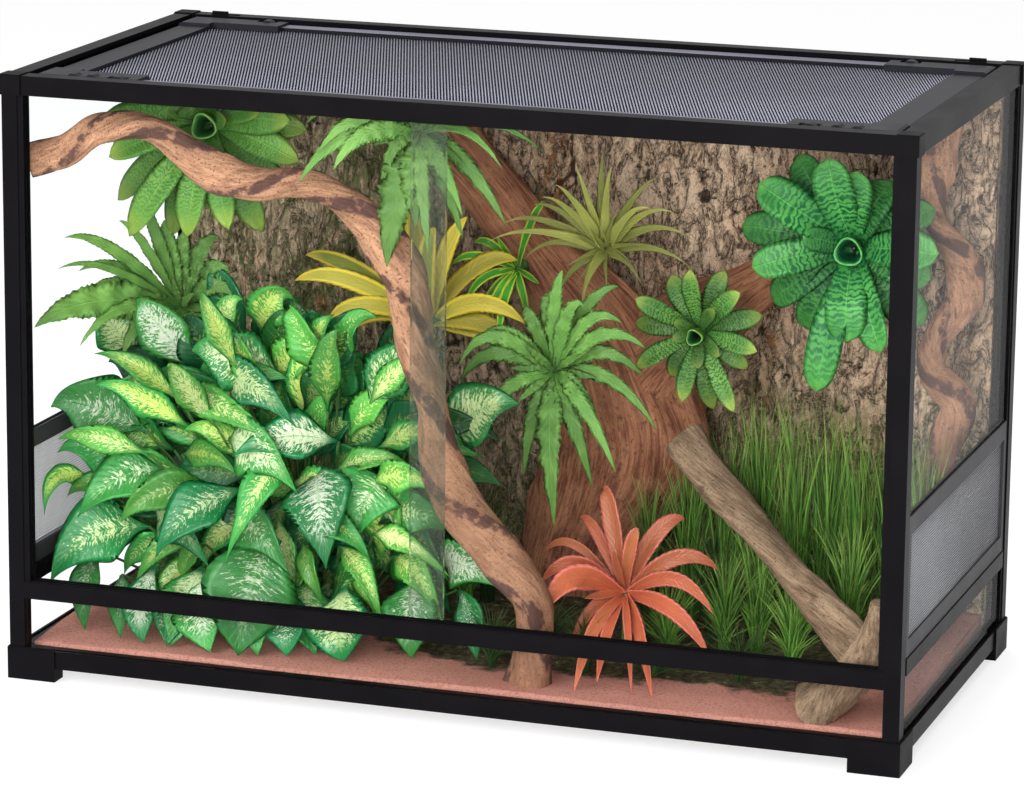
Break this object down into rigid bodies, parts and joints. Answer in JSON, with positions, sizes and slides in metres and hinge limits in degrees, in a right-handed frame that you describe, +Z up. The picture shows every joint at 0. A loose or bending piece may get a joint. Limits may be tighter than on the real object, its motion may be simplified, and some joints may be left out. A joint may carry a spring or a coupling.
{
  "type": "reptile terrarium",
  "caption": "Front-opening glass reptile terrarium with sliding doors, side vents, a latched screen lid, sand, bark, driftwood and plants.",
  "frame": {"origin": "centre of the footprint on the surface the feet stand on", "axes": "+X to the right seen from the front, +Y from the doors to the back, +Z up"},
  "size_m": [0.9, 0.45, 0.602],
  "materials": {
    "black_aluminium": "satin black coating on extruded profile",
    "black_plastic": "black moulding with a soft shine",
    "grey_plastic": "grey frame strip",
    "clear_glass": "clear float glass, polished edges",
    "clear_seal": "milky clear strip",
    "steel_mesh": "fine grey wire mesh",
    "pink_sand": "fine salmon sand",
    "bark": "rough mossy bark",
    "red_wood": "fibrous red-brown root wood",
    "brown_wood": "grooved brown vine wood",
    "shrub_leaf": "green leaves with cream mottling",
    "light_leaf": "light green banded leaves",
    "fern_leaf": "fresh green fronds",
    "yellow_leaf": "green leaves with broad yellow edges",
    "olive_leaf": "dry olive leaves",
    "dark_leaf": "dark green banded leaves",
    "coral_leaf": "coral red leaves",
    "grass_leaf": "green grass blades",
    "dark_grass": "dark wiry grass"
  },
  "bodies": {
    "cabinet": {"base_rail_front": "black_aluminium", "base_rail_back": "black_aluminium", "base_rail_left": "black_aluminium", "base_rail_right": "black_aluminium", "post_front_left": "black_aluminium", "post_front_right": "black_aluminium", "post_back_left": "black_aluminium", "post_back_right": "black_aluminium", "top_rail_front": "black_aluminium", "top_rail_back": "black_aluminium", "top_rail_left": "black_aluminium", "top_rail_right": "black_aluminium", "mid_rail_left": "black_aluminium", "mid_rail_right": "black_aluminium", "feet": "black_plastic", "top_corners": "black_plastic", "door_sill": "black_plastic", "door_jambs": "black_plastic", "vent_frame_left": "grey_plastic", "vent_frame_right": "grey_plastic", "floor_glass": "clear_glass", "front_low_glass": "clear_glass", "back_glass": "clear_glass", "side_glass_left": "clear_glass", "side_glass_right": "clear_glass", "low_glass_left": "clear_glass", "low_glass_right": "clear_glass", "vent_mesh_left": "steel_mesh", "vent_mesh_right": "steel_mesh", "sand_bed": "pink_sand", "bark_panel": "bark", "trunk": "red_wood", "liana_left": "brown_wood", "liana_right": "brown_wood", "branch_props": "brown_wood", "shrub": "shrub_leaf", "bromeliad_top": "light_leaf", "bromeliad_light": "light_leaf", "fern_left": "fern_leaf", "fern_hanging": "fern_leaf", "fern_centre": "fern_leaf", "striped_plant": "yellow_leaf", "air_plant": "olive_leaf", "bromeliad_dark": "dark_leaf", "bromeliad_red": "coral_leaf", "grass_tall": "grass_leaf", "grass_dark": "dark_grass"},
    "left_door": {"door_left_glass": "clear_glass", "door_seal": "clear_seal"},
    "right_door": {"door_right_glass": "clear_glass"},
    "lid": {"lid_rails": "black_aluminium", "lid_corners": "black_plastic", "lid_screen": "steel_mesh"},
    "latch_front_left": {"latch_front_left": "black_plastic"},
    "latch_front_right": {"latch_front_right": "black_plastic"},
    "latch_back_left": {"latch_back_left": "black_plastic"},
    "latch_back_right": {"latch_back_right": "black_plastic"},
    "cable_gate_left": {"cable_gate_left": "black_plastic"},
    "cable_gate_right": {"cable_gate_right": "black_plastic"}
  },
  "joints": [
    {"name": "left_door_slide", "type": "slide", "parent": "cabinet", "child": "left_door", "axis": [1, 0, 0], "range_m": [0, 0.424]},
    {"name": "right_door_slide", "type": "slide", "parent": "cabinet", "child": "right_door", "axis": [1, 0, 0], "range_m": [-0.395, 0]},
    {"name": "lid_lift", "type": "slide", "parent": "cabinet", "child": "lid", "axis": [0, 0, 1], "range_m": [0, 0.15]},
    {"name": "latch_front_left_slide", "type": "slide", "parent": "lid", "child": "latch_front_left", "axis": [0, -1, 0], "range_m": [0, 0.0065]},
    {"name": "latch_front_right_slide", "type": "slide", "parent": "lid", "child": "latch_front_right", "axis": [0, -1, 0], "range_m": [0, 0.0065]},
    {"name": "latch_back_left_slide", "type": "slide", "parent": "lid", "child": "latch_back_left", "axis": [0, 1, 0], "range_m": [0, 0.0065]},
    {"name": "latch_back_right_slide", "type": "slide", "parent": "lid", "child": "latch_back_right", "axis": [0, 1, 0], "range_m": [0, 0.0065]},
    {"name": "cable_gate_left_slide", "type": "slide", "parent": "cabinet", "child": "cable_gate_left", "axis": [1, 0, 0], "range_m": [0, 0.014]},
    {"name": "cable_gate_right_slide", "type": "slide", "parent": "cabinet", "child": "cable_gate_right", "axis": [-1, 0, 0], "range_m": [0, 0.014]}
  ]
}
